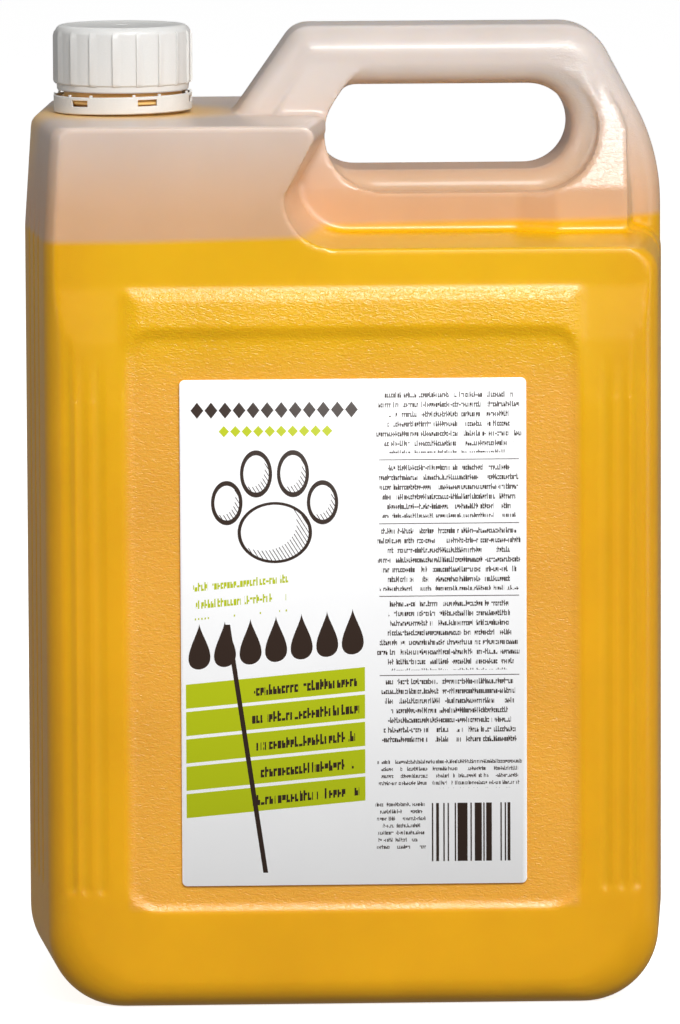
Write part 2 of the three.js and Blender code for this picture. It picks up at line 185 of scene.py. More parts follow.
# %% [markdown]
# ## The form of the bottle
# A blow moulded bottle has soft edges everywhere, because the hot tube of plastic is thinnest
# where it is blown furthest into the mould. Its sections are drawn square to Y. How far each one
# comes in at the faces follows the round of its edge, so body and handle are two lofts.

# %% Rounds
SIDE_DRAFT = 0.09
EDGES = {"base": 9, "upright": 9, "top": 3.2}
BASE_CORNER = 22
SHOULDER_CORNER = 8
SHOULDER_FALL = 1.6
TOWER = {"lean": 9, "taper": 2, "corner": 4, "valley": 15, "spread": 9}
VALLEY_X = 74.8 - HALF_WIDTH
HANDLE_TO_SIDE = 1
HANDLE_HALF = 18.5
FOOT_HALF = 23.5
HANDLE_ROOT = 1


def round_in(depth, half, radius):
    """How far a rounded edge has come in at a depth, on a form that is half deep"""
    into = max(0, depth - (half - radius))
    return radius - math.sqrt(max(0, radius * radius - into * into))


def round_depths(flat, half, radius, steps):
    edge = [half - radius + radius * math.sin(i / steps * math.pi / 2) for i in range(steps + 1)]
    return [d for d in flat if d < edge[0] - 0.5] + edge


# %% Body and tower
def body_outline(depth, inset):
    half = HALF_DEPTH - inset
    side_in = round_in(depth, half, EDGES["upright"] - inset) + inset
    top_in = round_in(depth, half, EDGES["top"] - inset) + inset
    side = HALF_WIDTH - SIDE_DRAFT * depth - side_in
    bottom = round_in(depth, half, EDGES["base"] - inset) + inset
    beyond = max(0, depth - FOOT_HALF)
    flat = HALF_DEPTH - EDGES["top"] - FOOT_HALF
    fall = SHOULDER_FALL * max(0, 1 - beyond / flat)
    root = round_in(HANDLE_ROOT - beyond, HANDLE_ROOT, HANDLE_ROOT)
    shoulder = SHOULDER + fall + root - top_in
    deck = DECK - top_in
    valley = VALLEY_X + TOWER["spread"] * (1 - depth / HALF_DEPTH) - top_in
    base, corner = BASE_CORNER - inset, SHOULDER_CORNER - inset
    hollow, tower = TOWER["valley"] + top_in, TOWER["corner"] - inset
    tower_side = side - TOWER["taper"]
    return [
        *arc(base - side, bottom + base, base, 180, 270, 16),
        *arc(side - base, bottom + base, base, 270, 360, 16),
        *arc(side - corner, shoulder - corner, corner, 0, 90, 10),
        *arc(valley + hollow, shoulder + hollow, -hollow, 90, 0, 12),
        *arc(valley + TOWER["lean"] - tower, deck - tower, tower, 0, 90, 8),
        *arc(tower - tower_side, deck - tower, tower, 90, 180, 8),
        (-side, shoulder),
    ]


def body_form(inset):
    roots = [FOOT_HALF + HANDLE_ROOT * share for share in (0, 0.08, 0.2, 0.36, 0.55, 0.76, 1)]
    depths = round_depths([0, 10, *roots], HALF_DEPTH - inset, EDGES["base"] - inset, 10)
    return mirrored_loft("body", depths, lambda depth: body_outline(depth, inset))


# %% Handle
HANDLE_EDGE = 9
HANDLE_FOOT_X = VALLEY_X - 12.4
LEG_WIDTH = 21.7
SLOT = {"top": HANDLE_TOP - 17.4, "height": 25.3, "to_side": 27.8, "lower": 11, "upper": 6}
FLARE = {"round": 6, "right": 1.6}
SIDE_ROUND = {"radius": 60, "angle": 28, "x": HALF_WIDTH - HANDLE_TO_SIDE - 60, "z": SHOULDER + 9}
HANDLE_CORNERS = {"left": 8, "right": 15}
LEAST_ROUND = 0.5
LEG_NORMAL = 90 + 55
leg_direction = Vector((math.cos(math.radians(LEG_NORMAL)), math.sin(math.radians(LEG_NORMAL))))
leg_line = leg_direction.dot(Vector((HANDLE_FOOT_X, DECK)))


def centre_on_leg(line, z, radius):
    """X of a round's centre when the round touches a line along the left leg"""
    return (line - radius - leg_direction.y * z) / leg_direction.x


def handle_outline(depth, inset):
    beyond = max(0, depth - (HANDLE_HALF - inset))
    come_in = round_in(min(depth, HANDLE_HALF - inset), HANDLE_HALF - inset, HANDLE_EDGE - inset)
    come_in += inset + 0.25 * beyond
    left = max(LEAST_ROUND, HANDLE_CORNERS["left"] - come_in)
    right = max(LEAST_ROUND, HANDLE_CORNERS["right"] - come_in)
    left_z, right_z = HANDLE_TOP - come_in - left, HANDLE_TOP - come_in - right
    side_x, side_z = SIDE_ROUND["x"], SIDE_ROUND["z"]
    angle = math.radians(SIDE_ROUND["angle"])
    side_line = side_x * math.cos(angle) + side_z * math.sin(angle) + SIDE_ROUND["radius"]
    right_x = (side_line - come_in - right - right_z * math.sin(angle)) / math.cos(angle)
    foot_z = DECK - 18
    return [
        (centre_on_leg(leg_line - come_in, foot_z, 0), foot_z),
        (VALLEY_X, SHOULDER - 20),
        (side_x + SIDE_ROUND["radius"] - come_in, SHOULDER - 20),
        *arc(side_x, side_z, SIDE_ROUND["radius"] - come_in, 0, SIDE_ROUND["angle"], 8),
        *arc(right_x, right_z, right, SIDE_ROUND["angle"], 90, 12),
        *arc(centre_on_leg(leg_line - come_in, left_z, left), left_z, left, 90, LEG_NORMAL, 8),
    ]


def bar_along_x(name, section, left, right):
    """A bar along X with its section in YZ"""
    return loft(name, [[(x, y, z) for y, z in section] for x in (left, right)])


# %% Gussets and the leaning faces
LEAN_TOP = HANDLE_TOP - 10
FOOT_LEVEL = SHOULDER + 14
GUSSET = {"top": HANDLE_TOP - 19, "edge": SHOULDER + 14.5, "out": 28.5, "right": 83, "beside": 5}


def gusset(side, inset):
    """The right leg flares out to the shoulder with a leaning face that ends in a crisp edge"""
    thin, out = HANDLE_HALF - inset, GUSSET["out"] - inset
    side_x, side_z = SIDE_ROUND["x"], SIDE_ROUND["z"]
    low, rings = SHOULDER - 4, []  # below the shoulder, so that the flare melts into it
    for share in (-0.5, 0, 0.2, 0.4, 0.6, 0.8, 1):
        depth, left = thin + share * (out - thin), 40 + 22 * share
        high = GUSSET["top"] + (GUSSET["edge"] - GUSSET["top"]) * max(0, share)
        levels = [low + (high - low) * i / 8 for i in range(9)]
        ring = [(left + inset, z) for z in reversed(levels)]
        for z in levels:
            rise = max(0, z - side_z)
            edge = side_x + math.sqrt((SIDE_ROUND["radius"] - GUSSET["beside"]) ** 2 - rise * rise)
            ring.append((min(GUSSET["right"], edge) - inset, z))
        rings.append([(x, side * depth, z) for x, z in ring])
    return loft("gusset", rings)


def handle_form(inset):
    """The plate is thicker at its foot, so its faces lean out on the way down"""
    deep = FOOT_HALF - inset
    depths = round_depths([0, 5], HANDLE_HALF - inset, HANDLE_EDGE - inset, 9) + [deep]
    form = mirrored_loft("handle", depths, lambda depth: handle_outline(depth, inset))
    for side in (-1, 1):
        thin, out = side * (HANDLE_HALF - inset), side * 40
        face = [
            (thin, HANDLE_TOP + 10),
            (thin, LEAN_TOP),
            (side * deep, FOOT_LEVEL),
            (out, FOOT_LEVEL),
            (out, HANDLE_TOP + 10),
        ]
        combine(form, bar_along_x("face", face, -HALF_WIDTH, HALF_WIDTH + 10), "DIFFERENCE")
        combine(form, gusset(side, inset), "UNION")
    return form


# %% The slot for the hand
def slot_form(grow):
    end = SLOT["height"] / 2
    bottom = SLOT["top"] - SLOT["height"]
    right_x = HALF_WIDTH - SLOT["to_side"] - end
    slot_line = leg_line - LEG_WIDTH + grow

    def outline(depth):
        share = round_in(min(depth, HANDLE_HALF), HANDLE_HALF, FLARE["round"]) / FLARE["round"]
        wide = grow + FLARE["round"] * share
        upper, lower = SLOT["upper"] + wide, SLOT["lower"] + wide
        top_z, low_z = SLOT["top"] - SLOT["upper"], bottom + SLOT["lower"]
        return [
            *arc(right_x + FLARE["right"] * share, bottom + end, end + wide, -90, 90, 24),
            *arc(centre_on_leg(slot_line, top_z, upper), top_z, upper, 90, LEG_NORMAL, 8),
            *arc(centre_on_leg(slot_line, low_z, lower), low_z, lower, LEG_NORMAL, 270, 12),
        ]

    depths = round_depths([0, 6], HANDLE_HALF, FLARE["round"], 9) + [GUSSET["out"] + 4]
    return mirrored_loft("slot", depths, outline)


# %% [markdown]
# ## Relief in the faces
# The front and back panels are sunk a little, so that the label isn't rubbed. Above each panel the
# whole face stands back, and a short ramp leads up to it. Upright flutes beside the panels and on
# the sides stiffen the thin wall. All are cut from the form with drafted sides, so that the mould
# lets the bottle go.

# %% Sizes of panel, ramp and base pocket
PANEL = {"half": HALF_WIDTH - 31, "bottom": 31, "top": SHOULDER - 26, "depth": 1.2, "corner": 6}
DRAFT = {"side": 3.4, "bottom": 1.7, "top": 3.4}
RAMP = {"crest": 22, "knee": 14.8, "foot": 10.9, "knee_depth": 0.85, "depth": 2.5}
RAMP_BESIDE = {"crest": 46, "knee": 27}
POCKET = {"x": 52, "y": 38, "corner": 14, "height": 2, "draft": 1.5}

# %% Cutters for panel, ramp and base pocket
def rounded_rectangle(left, right, bottom, top, corner):
    return [
        *arc(right - corner, bottom + corner, corner, 270, 360, 6),
        *arc(right - corner, top - corner, corner, 0, 90, 6),
        *arc(left + corner, top - corner, corner, 90, 180, 6),
        *arc(left + corner, bottom + corner, corner, 180, 270, 6),
    ]


def panel_cut(side, grow):
    """Its rings run from well outside the face to the sunk floor, with drafted sides"""
    rings = []
    for out, share in ((4, 5), (0, 1), (-PANEL["depth"], 0)):
        wide = DRAFT["side"] * share + grow
        half, corner = PANEL["half"] + wide, PANEL["corner"] + wide
        low = PANEL["bottom"] - DRAFT["bottom"] * share - grow
        high = PANEL["top"] + (DRAFT["top"] * share if share < 2 else DRAFT["top"]) + grow
        y = side * (HALF_DEPTH + out - grow)
        rings.append([(x, y, z) for x, z in rounded_rectangle(-half, half, low, high, corner)])
    return loft("panel", rings)


def setback_cut(side, grow):
    """Above the crest the whole face stands back. The ramp leads to it, gently beside the panel"""
    deep, out, wide = HALF_DEPTH - RAMP["depth"], HALF_DEPTH + 4, HALF_WIDTH + 10
    edge = HALF_DEPTH - RAMP["knee_depth"]
    ramp = [(HALF_DEPTH, -RAMP["crest"]), (edge, -RAMP["knee"]), (deep, -RAMP["foot"])]
    crest, knee = RAMP_BESIDE["crest"], RAMP_BESIDE["knee"]
    beside = [(HALF_DEPTH, -crest), (edge, -knee), (deep, -RAMP["foot"])]
    near, far = PANEL["half"] - 1, PANEL["half"] + 4
    rings = []
    for x in (-wide, -far, -near, near, far, wide):
        slope = ramp if abs(x) < far else beside
        section = [(out, DECK + 10), (out, SHOULDER + slope[0][1])]
        section += [(y - grow, SHOULDER + z) for y, z in slope]
        section.append((deep - grow, DECK + 10))
        rings.append([(x, side * y, z) for y, z in section])
    return loft("setback", rings)


def pocket_cut(grow):
    rings = []
    for z, share in ((-2, 1), (0, 1), (POCKET["height"] + grow, 0)):
        x, y = POCKET["x"] + POCKET["draft"] * share, POCKET["y"] + POCKET["draft"] * share
        outline = rounded_rectangle(-x - grow, x + grow, -y - grow, y + grow, POCKET["corner"])
        rings.append([(px, py, z) for px, py in outline])
    return loft("pocket", rings)


# %% Flutes
FLUTES = {"front": (20.9, 16.1, 11.8), "side": (14, 27, 40), "width": 3, "depth": 0.8}
FLUTE_ENDS = {"bottom": 34, "front": SHOULDER - 19, "left": SHOULDER + 15, "right": SHOULDER - 19}


def capsule(x, y, bottom, top, radius, around=20, dome=5):
    """An upright rod with round ends"""
    rings = []
    for z, way in ((bottom + radius, -1), (top - radius, 1)):
        steps = range(dome + 1) if way > 0 else range(dome, -1, -1)
        for i in steps:
            lift = math.radians(86 * i / dome)
            ring_radius, ring_z = radius * math.cos(lift), z + way * radius * math.sin(lift)
            turn = [2 * math.pi * k / around for k in range(around)]
            ring = [(x + ring_radius * math.cos(a), y + ring_radius * math.sin(a)) for a in turn]
            rings.append([(px, py, ring_z) for px, py in ring])
    return loft("flute", rings)


def flute_cuts():
    width, depth = FLUTES["width"], FLUTES["depth"]
    radius = (width * width / 4 + depth * depth) / (2 * depth)
    flat_half = HALF_WIDTH - SIDE_DRAFT * HALF_DEPTH - EDGES["upright"]
    rods = []
    for side_x in (-1, 1):
        for side_y in (-1, 1):
            for place in FLUTES["front"]:
                x = HALF_WIDTH - place
                over = max(0, x - flat_half)
                surface = HALF_DEPTH - EDGES["upright"] + math.sqrt(EDGES["upright"] ** 2 - over**2)
                y = surface + radius - depth
                top = FLUTE_ENDS["front"]
                rods.append(capsule(side_x * x, side_y * y, FLUTE_ENDS["bottom"], top, radius))
            for place in FLUTES["side"]:
                x = HALF_WIDTH - SIDE_DRAFT * place + radius - depth
                top = FLUTE_ENDS["left" if side_x < 0 else "right"]
                rods.append(capsule(side_x * x, side_y * place, FLUTE_ENDS["bottom"], top, radius))
    return join("flutes", rods)


# %% The whole form
def relief(form, inset):
    for side in (-1, 1):
        combine(form, panel_cut(side, inset), "DIFFERENCE")
        combine(form, setback_cut(side, inset), "DIFFERENCE")
    return combine(form, pocket_cut(inset), "DIFFERENCE")


def bottle_form(inset):
    form = combine(body_form(inset), handle_form(inset), "UNION")
    combine(form, slot_form(inset), "DIFFERENCE")
    return relief(form, inset)


# %% [markdown]
# ## One soft skin
# Booleans leave crisp edges that no blown bottle has. A voxel remesh gives the whole skin even
# faces, a few passes of smoothing round every edge by about a millimetre, and a decimation
# takes away the faces that flat stretches don't need. The space inside is then cut out of it.

# %% Skin and cavity
VOXEL = 0.9
SKIN_KEPT = 0.27

bottle = combine(bottle_form(0), flute_cuts(), "DIFFERENCE")
bottle.name = "canister"
apply(bottle, "REMESH", mode="VOXEL", voxel_size=VOXEL * MM, use_smooth_shade=True)
apply(bottle, "SMOOTH", factor=0.5, iterations=3)
apply(bottle, "DECIMATE", ratio=SKIN_KEPT)
print("skin faces", len(bottle.data.polygons))
combine(bottle, bottle_form(WALL), "DIFFERENCE")
print("shell faces", len(bottle.data.polygons))

# %% [markdown]
# ## Shampoo
# The contents fill the same form, a little clear of the wall, and stop flat at their level.

# %% Contents
CLEAR = 0.3
shampoo = relief(body_form(WALL + CLEAR), WALL + CLEAR)
air = [(side * HALF_WIDTH, LEVEL) for side in (-1, 1)]
air += [(side * HALF_WIDTH, HANDLE_TOP) for side in (1, -1)]
combine(shampoo, bar_along_x("air", air, -HALF_WIDTH, HALF_WIDTH), "DIFFERENCE")
clean(shampoo)
only(shampoo)
bpy.ops.object.shade_smooth_by_angle(angle=math.radians(30))
shampoo.name = "shampoo_fill"
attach(shampoo, "bottle")
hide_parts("shampoo")
print("shampoo", len(shampoo.data.polygons), "faces")

# %% [markdown]
# ## Neck
# The neck is formed by a blow pin, so it is round and crisp: a bead that holds the tamper band,
# a right hand thread and a flat lip. A profile is spun round the neck's axis.

# %% Turned pieces
def turned(name, profile, steps=120, at=None):
    """Spins a profile of radius and height in millimetres round the neck's axis"""
    axis_x = NECK_X if at is None else at
    only(None)
    bpy.ops.mesh.primitive_circle_add(vertices=len(profile), fill_type="NOTHING")
    obj = bpy.context.object
    obj.name = name
    for vertex, (radius, height) in zip(obj.data.vertices, profile):
        vertex.co = Vector((axis_x + radius, 0, height)) * MM
    on_axis = [i for i, (radius, _) in enumerate(profile) if radius == 0]
    bpy.ops.object.mode_set(mode="EDIT")
    bpy.ops.mesh.select_mode(type="EDGE")
    bpy.ops.mesh.select_all(action="DESELECT")
    mesh = bmesh.from_edit_mesh(obj.data)
    for edge in mesh.edges:
        edge.select = all(v.index in on_axis for v in edge.verts)
    if any(edge.select for edge in mesh.edges):
        bpy.ops.mesh.delete(type="EDGE")
    bpy.ops.mesh.select_all(action="SELECT")
    centre = (axis_x * MM, 0, 0)
    bpy.ops.mesh.spin(steps=steps, angle=2 * math.pi, center=centre, axis=(0, 0, 1))
    clean(obj)
    return obj


# %% Neck finish
BORE = 15
NECK_RADIUS = 17.5
LIP = liner_low[2] - 0.3
BEAD = {"bottom": 3.2, "height": 1, "depth": 2}
THREAD = {"pitch": 4.2, "turns": 1.75, "depth": 1.3, "start": 10.5, "root": 1.1, "crest": 0.5}


def neck_profile():
    bead_low = DECK + BEAD["bottom"]
    bead_high, bead_radius = bead_low + BEAD["height"], NECK_RADIUS + BEAD["depth"]
    return [
        (BORE, DECK - WALL / 2),
        (NECK_RADIUS + 1.6, DECK - WALL / 2),
        *arc(NECK_RADIUS + 1.6, DECK + 1.2, 1.6, 270, 180, 5),
        (NECK_RADIUS, bead_low - 0.3),
        (bead_radius - 0.2, bead_low),
        (bead_radius, bead_low + 0.2),
        (bead_radius, bead_high - 0.2),
        (bead_radius - 0.3, bead_high),
        (NECK_RADIUS, bead_high + 1.4),
        *arc(NECK_RADIUS - 0.5, LIP - 0.5, 0.5, 0, 90, 4),
        *arc(BORE + 0.4, LIP - 0.4, 0.4, 90, 180, 3),
    ]


def thread(name, root_radius, crest_radius, start):
    """A right hand ridge whose crest rises at each end, sunk a little into its wall"""
    outward = 1 if crest_radius > root_radius else -1
    root = root_radius - 0.2 * outward
    per_turn, rings = 72, []
    steps = round(THREAD["turns"] * per_turn)
    for i in range(steps + 1):
        rise = min(1, i / (per_turn / 10), (steps - i) / (per_turn / 10))
        crest = root + (crest_radius - root) * max(0.1, rise)
        z, turn = start + THREAD["pitch"] * i / per_turn, 2 * math.pi * i / per_turn
        section = [(root, -THREAD["root"]), (crest, -THREAD["crest"])]
        section += [(r, -height) for r, height in reversed(section)]
        ring = [(NECK_X + r * math.cos(turn), r * math.sin(turn), z + h) for r, h in section]
        rings.append(ring)
    return loft(name, rings)


combine(bottle, turned("neck", neck_profile()), "UNION")
ridge = thread("thread", NECK_RADIUS, NECK_RADIUS + THREAD["depth"], DECK + THREAD["start"])
combine(bottle, ridge, "UNION")
bore = [(0, DECK - 3 * WALL), (BORE, DECK - 3 * WALL), (BORE, DECK + WALL), (0, DECK + WALL)]
combine(bottle, turned("bore", bore), "DIFFERENCE")
clean(bottle)
only(bottle)
bpy.ops.object.shade_smooth_by_angle(angle=math.radians(38))
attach(bottle, "bottle")
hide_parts("bottle")
print("bottle", len(bottle.data.polygons), "faces")

# %% [markdown]
# ## Screw cap
# The cap is injection moulded, with a thin wall, a softly rounded top edge and 18 grip ribs.
# Each rib is steep on one side, where the thumb pushes, and runs out gently on the other.

# %% Cap shell
CAP_TOP, CAP_LOW = cap_high[2], cap_low[2]
CAP_RADIUS = 20.1
CAP_INNER = 19.15
CAP_CEILING = liner_high[2] + 0.3
CAP_EDGE = 2.3
SKIRT = CAP_LOW + 2.7
GATE = {"flat": 16, "dish": 1.5, "pip": 0.5}  # sunk top, and the mark where the plastic ran in

cap_profile = [
    (0, CAP_CEILING),
    (CAP_INNER - 0.5, CAP_CEILING),
    (CAP_INNER, CAP_CEILING - 0.5),
    (CAP_INNER, CAP_LOW + 0.3),
    (CAP_INNER + 0.25, CAP_LOW),
    (CAP_RADIUS - 0.8, CAP_LOW),
    (CAP_RADIUS - 0.5, CAP_LOW + 0.3),
    (CAP_RADIUS - 0.4, SKIRT - 0.9),
    (CAP_RADIUS, SKIRT - 0.4),
    *arc(CAP_RADIUS - CAP_EDGE, CAP_TOP - CAP_EDGE, CAP_EDGE, 0, 90, 10),
    (GATE["flat"] + 0.4, CAP_TOP),
    (GATE["flat"], CAP_TOP - 0.12),
    (GATE["dish"] + 0.4, CAP_TOP - 0.12),
    (GATE["dish"], CAP_TOP - 0.4),
    (GATE["pip"] + 0.2, CAP_TOP - 0.4),
    (GATE["pip"], CAP_TOP - 0.2),
    (0, CAP_TOP - 0.2),
]
cap = turned("cap", cap_profile, steps=180)
print("cap shell faces", len(cap.data.polygons))

# %% Ribs
RIBS = {"count": 18, "height": 0.65, "top": 2.1, "steep": 0.25, "crown": 0.75, "run_out": 2.3}


def rib(angle):
    """Rings run up the rib. It dies into the skirt below and into the round edge above"""
    rings = []
    low, high = SKIRT - 0.3, CAP_TOP - RIBS["top"]
    run_in = [(low - 0.5, 0), (low, 0.7), (low + 0.5, 1)]
    run_off = [(high - 1.2, 1), (high, 0.6), (high + 0.7, 0)]
    for z, height in run_in + run_off:
        over = max(0, z - (CAP_TOP - CAP_EDGE))
        surface = CAP_RADIUS - CAP_EDGE + math.sqrt(CAP_EDGE**2 - over**2)
        rise = RIBS["height"] * height
        places = [(0, -0.4), (RIBS["steep"], rise), (RIBS["crown"], rise), (RIBS["run_out"], -0.05)]
        places.append((RIBS["run_out"] / 2, -0.6))
        turn = [(angle + place / CAP_RADIUS, surface + out) for place, out in places]
        rings.append([(NECK_X + r * math.sin(a), -r * math.cos(a), z) for a, r in turn])
    return loft("rib", rings)


ribs = [rib(2 * math.pi * (i + 0.5) / RIBS["count"]) for i in range(RIBS["count"])]
combine(cap, join("ribs", ribs), "UNION")
CAP_CREST = 18  # the cap's thread reaches in over the neck's thread
inner_ridge = thread("inner_ridge", CAP_INNER, CAP_CREST, DECK + THREAD["start"] - THREAD["pitch"] / 2)
combine(cap, inner_ridge, "UNION")
clean(cap)
only(cap)
bpy.ops.object.shade_smooth_by_angle(angle=math.radians(32))
cap.name = "ribbed_cap"
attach(cap, "cap")
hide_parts("screw_cap")
print("cap", len(cap.data.polygons), "faces")

# %% [markdown]
# ## Tamper band
# The band hangs under the neck's bead by its inner lip. Six windows let the mould's core out, and
# two torn bridges beside each window show that the cap has been opened. It hangs a little askew.

# %% Band
BAND = {"low": band_low[2], "high": band_low[2] + 5.1, "inner": 19.85, "outer": 20.6, "lip": 0.95}
WINDOWS = {"count": 6, "first": 20, "angle": 17, "height": 1.9, "below": 0.9}
BRIDGES = {"offset": 11.5, "width": 0.9, "height": 0.6}
BAND_TILT = 1.0

low, high, inner, outer = (BAND[part] for part in ("low", "high", "inner", "outer"))
band_profile = [
    (inner, low + 1.5),
    (inner - BAND["lip"], low + 1),
    (inner - BAND["lip"], low + 0.15),
    (inner - BAND["lip"] + 0.15, low),
    (outer - 0.3, low),
    (outer, low + 0.3),
    (outer, high - 0.2),
    (outer - 0.2, high),
    (inner + 0.1, high),
    (inner, high - 0.1),
]
band = turned("band", band_profile, steps=144)


def block(name, half_x, y, half_y, z, half_z, degrees):
    """A block at the neck, turned from the front towards +X"""
    only(None)
    bpy.ops.mesh.primitive_cube_add(size=2, location=(0, 0, 0))
    obj = bpy.context.object
    obj.name = name
    turn = Matrix.Rotation(math.radians(degrees), 4, "Z")
    middle, half = Vector((0, y, z)), Vector((half_x, half_y, half_z))
    for vertex in obj.data.vertices:
        place = turn @ (middle + vertex.co * half)
        vertex.co = (place + Vector((NECK_X, 0, 0))) * MM
    return obj


# %% Windows and bridges
windows, bridges = [], []
window_z = high - WINDOWS["below"] - WINDOWS["height"] / 2
chord = outer * math.sin(math.radians(WINDOWS["angle"] / 2))
for i in range(WINDOWS["count"]):
    centre = WINDOWS["first"] + 360 / WINDOWS["count"] * i
    windows.append(block("window", chord, -outer, 2, window_z, WINDOWS["height"] / 2, centre))
    for side in (-1, 1):
        turn, wall = centre + side * BRIDGES["offset"], (inner + outer) / 2
        bridge = block("bridge", BRIDGES["width"] / 2, -wall, 0.3, high, BRIDGES["height"], turn)
        only(bridge)
        bpy.ops.object.mode_set(mode="EDIT")
        bpy.ops.mesh.select_all(action="SELECT")
        bpy.ops.mesh.bevel(offset=0.12 * MM, segments=2)
        bpy.ops.object.mode_set(mode="OBJECT")
        bridges.append(bridge)
combine(band, join("windows", windows), "DIFFERENCE")
combine(band, join("bridges", bridges), "UNION")
clean(band)
middle = Matrix.Translation(Vector((NECK_X, 0, (low + high) / 2)) * MM)
tilt = Matrix.Rotation(math.radians(-BAND_TILT), 4, "Y")
band.data.transform(middle @ tilt @ middle.inverted())
only(band)
bpy.ops.object.shade_smooth_by_angle(angle=math.radians(32))
band.name = "windowed_band"
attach(band, "band")
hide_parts("tamper_band")
print("band", len(band.data.polygons), "faces")

# %% [markdown]
# ## Wad
# The wad is punched from foamed sheet. It lies in the cap's top and seals on the lip, which has
# pressed a shallow ring into it.

# %% Liner
wad_radius = (liner_high[0] - liner_low[0]) / 2
wad_low, wad_high, pressed, soft_edge = liner_low[2], liner_high[2], 0.12, 0.15
liner_profile = [
    (0, wad_low),
    (BORE, wad_low),
    (BORE + 0.3, wad_low + pressed),
    (NECK_RADIUS - 0.3, wad_low + pressed),
    (NECK_RADIUS, wad_low),
    (wad_radius - soft_edge, wad_low),
    (wad_radius, wad_low + soft_edge),
    (wad_radius, wad_high - soft_edge),
    (wad_radius - soft_edge, wad_high),
    (0, wad_high),
]
liner = turned("foam_disc", liner_profile, steps=96)
only(liner)
bpy.ops.object.shade_smooth_by_angle(angle=math.radians(32))
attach(liner, "liner")
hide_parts("cap_liner")
print("liner", len(liner.data.polygons), "faces")

# %% [markdown]
# ## Label
# A film label with small round corners lies in the sunk panel. It is a thin sheet with rolled
# edges, so that its rim catches the light.

# %% Label sheet
LABEL_CORNER = 1.5
LABEL_ROLL = 0.06
back_y, front_y = label_high[1], label_low[1]
sheet_rings = []
for y in (back_y, back_y - LABEL_ROLL, front_y + LABEL_ROLL, front_y):
    rim = LABEL_ROLL if y in (back_y, front_y) else 0
    left, right = label_low[0] + rim, label_high[0] - rim
    bottom, top = label_low[2] + rim, label_high[2] - rim
    outline = rounded_rectangle(left, right, bottom, top, LABEL_CORNER - rim)
    sheet_rings.append([(x, y, z) for x, z in outline])
label = loft("film_label", sheet_rings)
only(label)
bpy.ops.object.shade_smooth_by_angle(angle=math.radians(50))
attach(label, "bottle")
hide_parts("label")
print("label", len(label.data.polygons), "faces")

# %% [markdown]
# ## Materials
# A colour is given as the sRGB code that a screen shows, and one function turns it to linear
# light. One function adds a node, sets it up, links or fills its inputs and gives its output.

# %% Colour and nodes
def srgb(code):
    parts = [int(code[i : i + 2], 16) / 255 for i in (1, 3, 5)]
    linear = [c / 12.92 if c <= 0.04045 else ((c + 0.055) / 1.055) ** 2.4 for c in parts]
    return (*linear, 1)


def add(tree, kind, inputs=None, out=0, **settings):
    node = tree.nodes.new("ShaderNode" + kind)
    for name, value in settings.items():
        setattr(node, name, value)
    for key, value in (inputs or {}).items():
        if isinstance(value, bpy.types.NodeSocket):
            tree.links.new(value, node.inputs[key])
        else:
            node.inputs[key].default_value = value
    return node.outputs[out]


def material(name, obj):
    """A new node material as the only one of an object, with its shader and its millimetres"""
    made = bpy.data.materials.new(name)
    made.use_nodes = True
    tree = made.node_tree
    tree.nodes.clear()
    shader = add(tree, "BsdfPrincipled").node
    output = tree.nodes.new("ShaderNodeOutputMaterial")
    tree.links.new(shader.outputs[0], output.inputs["Surface"])
    places = add(tree, "TexCoord", out="Object")
    millimetres = add(tree, "VectorMath", {0: places, "Scale": 1 / MM}, operation="SCALE")
    obj.data.materials.clear()
    obj.data.materials.append(made)
    return tree, shader, millimetres


# %% [markdown]
# ### Natural polyethylene over yellow shampoo
# The shell is HDPE without pigment, blow moulded in a grained mould. It is milky, so where the
# shampoo wets it the wall glows in the shampoo's own yellow, and where there is air behind it
# the wall is a pale warm beige that turns to grey-pink at the handle. Its IOR is 1.54.

# %% Canister material
SHELL = {
    "yellow": "#E9B000",
    # colour of the painted shade lower down, more orange than the yellow
    "lower_shade": "#EDAA08",
    "air": "#D3A67E",
    "handle": "#D0C4BD",
    # colour of the painted shade at the corners
    "thin": "#DC9C00",
    "painted_sheen": "#EFA944",
    # paler orange of the painted sheen round the label
    "neck": "#F0BE74",
# colour of the painted glow round the neck
}
tree, shader, place = material("natural_hdpe_grained", bottle)
x, y, z = (add(tree, "SeparateXYZ", {0: place}, out=axis) for axis in "XYZ")
across = add(tree, "Math", {0: x}, operation="ABSOLUTE")

# %% Where the shampoo wets the wall
# Seen through the leaning wall, the liquid's edge climbs by 22 mm in a metre towards the handle.
LEVEL_EDGE = {"from": -60, "climb": 0.022, "film": 1.5, "soft": 1.3}
past = add(tree, "Math", {0: x, 1: LEVEL_EDGE["from"]}, operation="SUBTRACT")
past = add(tree, "Math", {0: past, 1: 0.0}, operation="MAXIMUM")
climb = {0: past, 1: LEVEL_EDGE["climb"], 2: LEVEL + LEVEL_EDGE["film"]}
level = add(tree, "Math", climb, operation="MULTIPLY_ADD")
above = add(tree, "Math", {0: z, 1: level}, operation="SUBTRACT")
soft_edge = {0: above, 1: LEVEL_EDGE["soft"], 2: -LEVEL_EDGE["soft"], 3: 0.0, 4: 1.0}
wet = add(tree, "MapRange", soft_edge, interpolation_type="SMOOTHSTEP")
print("liquid edge from", LEVEL + LEVEL_EDGE["film"], "mm up")


# %% Where the mould is grained
def fade(value, start, end, most=1.0):
    """What a Map Range node is given to rise from 0 at one place to most at another"""
    return {0: value, 1: start, 2: end, 3: 0.0, 4: most}


